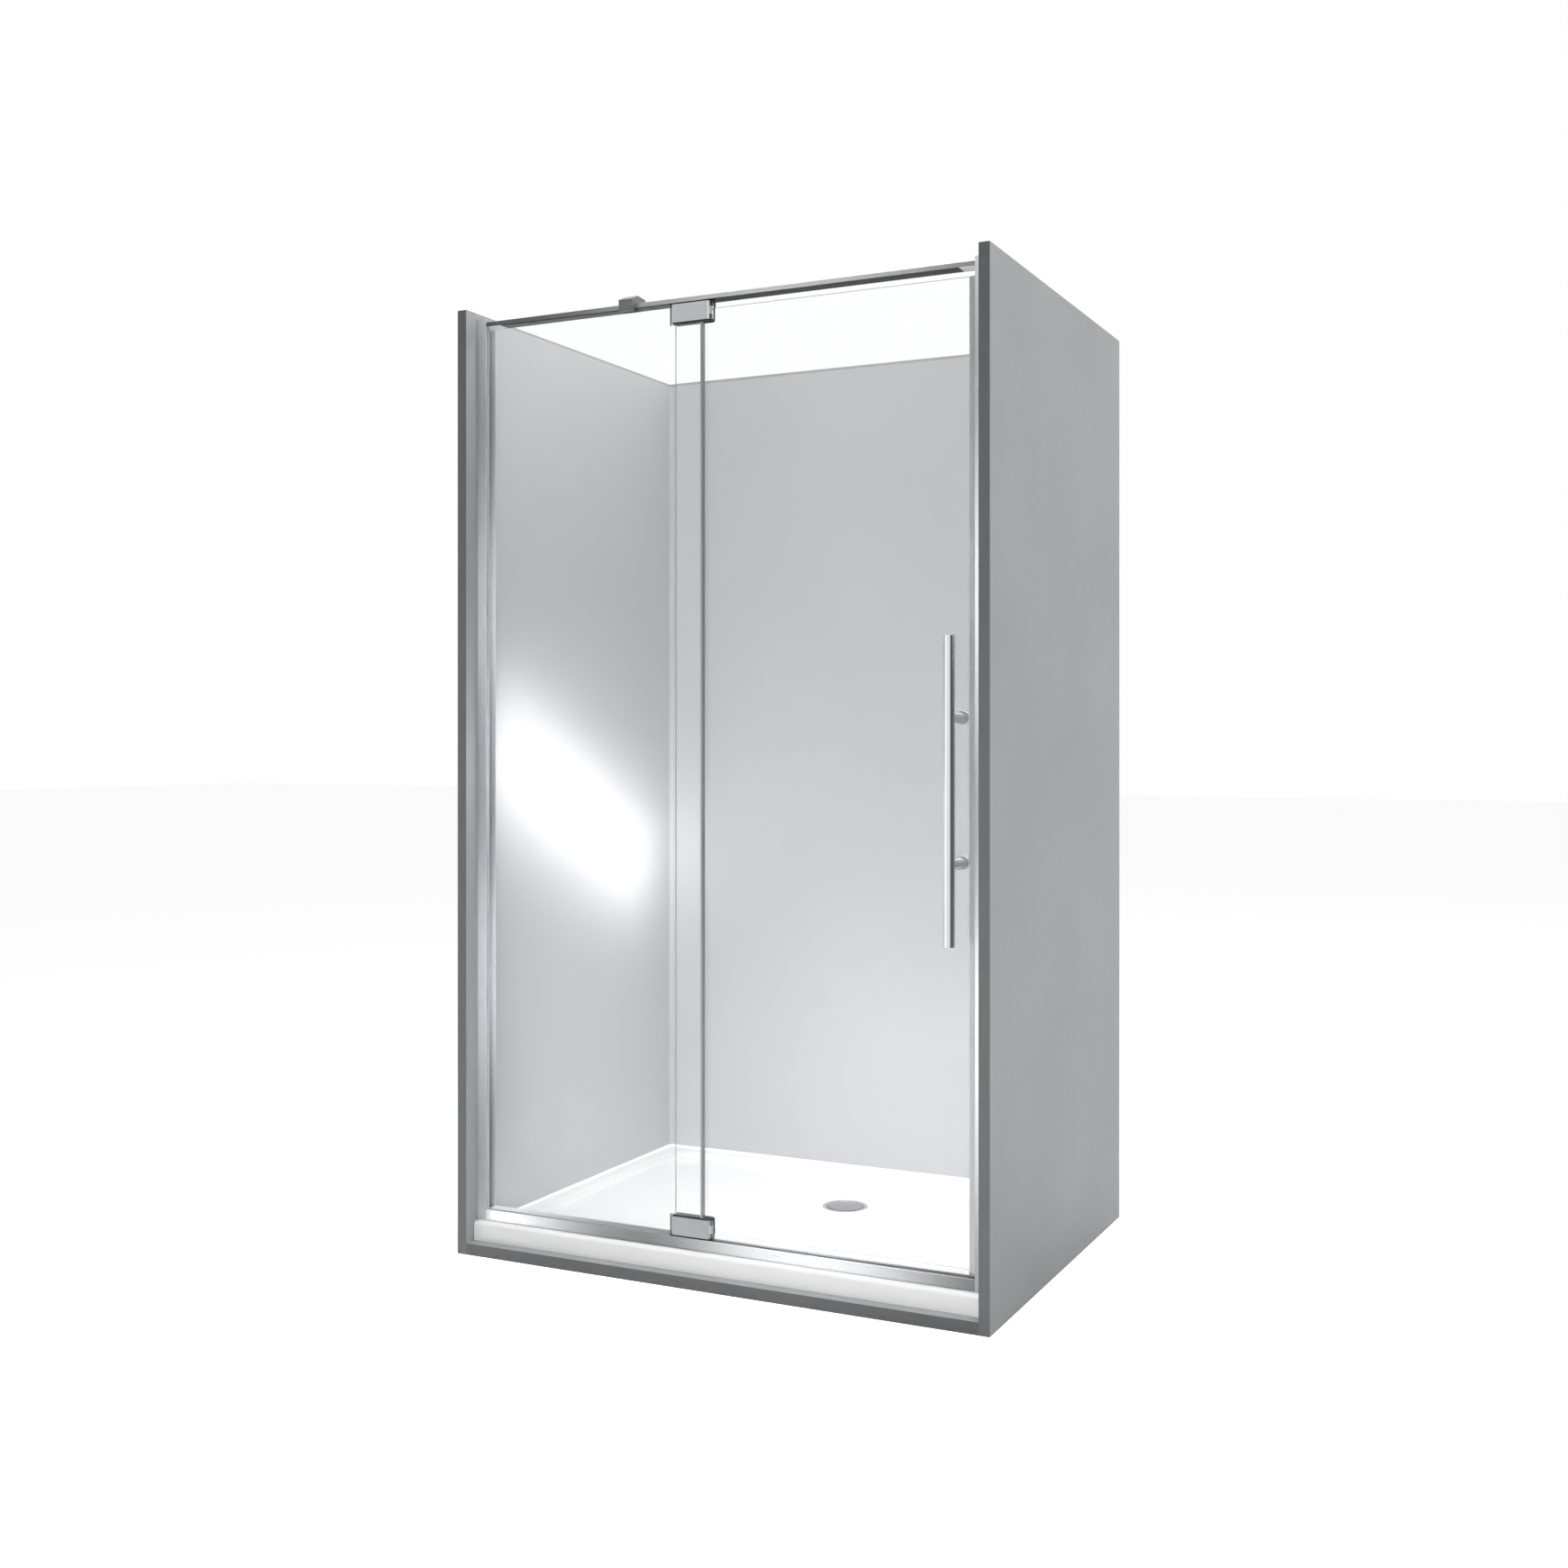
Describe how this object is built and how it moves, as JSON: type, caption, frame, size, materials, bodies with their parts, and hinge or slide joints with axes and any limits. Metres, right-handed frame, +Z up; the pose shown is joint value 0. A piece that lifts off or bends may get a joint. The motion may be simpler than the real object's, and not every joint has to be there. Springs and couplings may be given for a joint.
{
  "type": "pivot door shower enclosure",
  "caption": "Alcove shower with a white tray, wall liners, a framed fixed glass panel and an outward-opening pivot glass door with a tall bar handle; the waste strainer lifts out.",
  "frame": {"origin": "middle of the alcove's underside, on the floor that it stands on", "axes": "+X to the right seen from outside, +Y into the enclosure towards the back wall, +Z up"},
  "size_m": [1.2, 0.9147, 2.02],
  "materials": {
    "wall_panel": "matt grey alcove wall panel",
    "floor_slab": "matt grey floor slab",
    "liner": "gloss pale acrylic",
    "tray": "gloss white acrylic",
    "bed": "matt foam",
    "sealant": "white silicone",
    "aluminium": "bright silver anodised",
    "hardware": "satin chrome",
    "fastener": "stainless steel",
    "dark_clamp": "dark grey painted casting",
    "dark_rubber": "matt dark rubber",
    "dark_infill": "matt dark strip",
    "clear_seal": "translucent grey strip",
    "nylon": "white nylon",
    "glass": "clear toughened glass"
  },
  "bodies": {
    "enclosure": {"floor_slab": "floor_slab", "left_wall_panel": "wall_panel", "right_wall_panel": "wall_panel", "back_wall_panel": "wall_panel", "left_wall_liner": "liner", "right_wall_liner": "liner", "back_wall_liner": "liner", "left_corner_cove": "liner", "right_corner_cove": "liner", "liner_sealant": "sealant", "shower_tray": "tray", "tray_bed": "bed", "waste_body": "hardware", "waste_outlet": "nylon", "waste_seal": "dark_rubber", "waste_lock_nut": "nylon", "left_jamb": "aluminium", "right_jamb": "aluminium", "jamb_screws": "fastener", "sill_rail": "aluminium", "sill_gaskets": "clear_seal", "sill_infill": "dark_infill", "jamb_gaskets": "clear_seal", "header_rail": "aluminium", "header_infill": "dark_infill", "header_end_plugs": "nylon", "header_end_screws": "fastener", "top_pivot_socket": "fastener", "bottom_pivot_socket": "fastener", "pivot_pins": "fastener", "thrust_washers": "nylon", "fixed_glass_panel": "glass", "setting_blocks": "dark_rubber", "fixed_edge_seal": "clear_seal", "header_clamp": "dark_clamp", "header_clamp_screw": "fastener", "header_clamp_pad": "dark_rubber", "strike_carrier": "nylon", "strike_magnet": "dark_rubber"},
    "door": {"door_glass": "glass", "bottom_pivot_block": "hardware", "top_pivot_block": "hardware", "bottom_clamp_plate": "hardware", "top_clamp_plate": "hardware", "bottom_block_gasket": "dark_rubber", "top_block_gasket": "dark_rubber", "pivot_bushes": "nylon", "block_screws": "fastener", "block_cover_caps": "hardware", "door_sweep": "clear_seal", "door_strike_seal": "clear_seal", "door_magnet": "dark_rubber", "handle_bar": "hardware", "handle_end_caps": "hardware", "handle_posts": "hardware", "handle_gaskets": "clear_seal", "handle_buttons": "hardware", "handle_screws": "fastener"},
    "strainer": {"strainer_basket": "fastener", "waste_cover": "hardware"}
  },
  "joints": [
    {"name": "door_swing", "type": "hinge", "parent": "enclosure", "child": "door", "pos_m": [-0.023, -0.389, 0.0903], "axis": [0, 0, -1], "range_deg": [0, 90]},
    {"name": "strainer_lift", "type": "slide", "parent": "enclosure", "child": "strainer", "axis": [0, 0, 1], "range_m": [0, 0.15]}
  ]
}
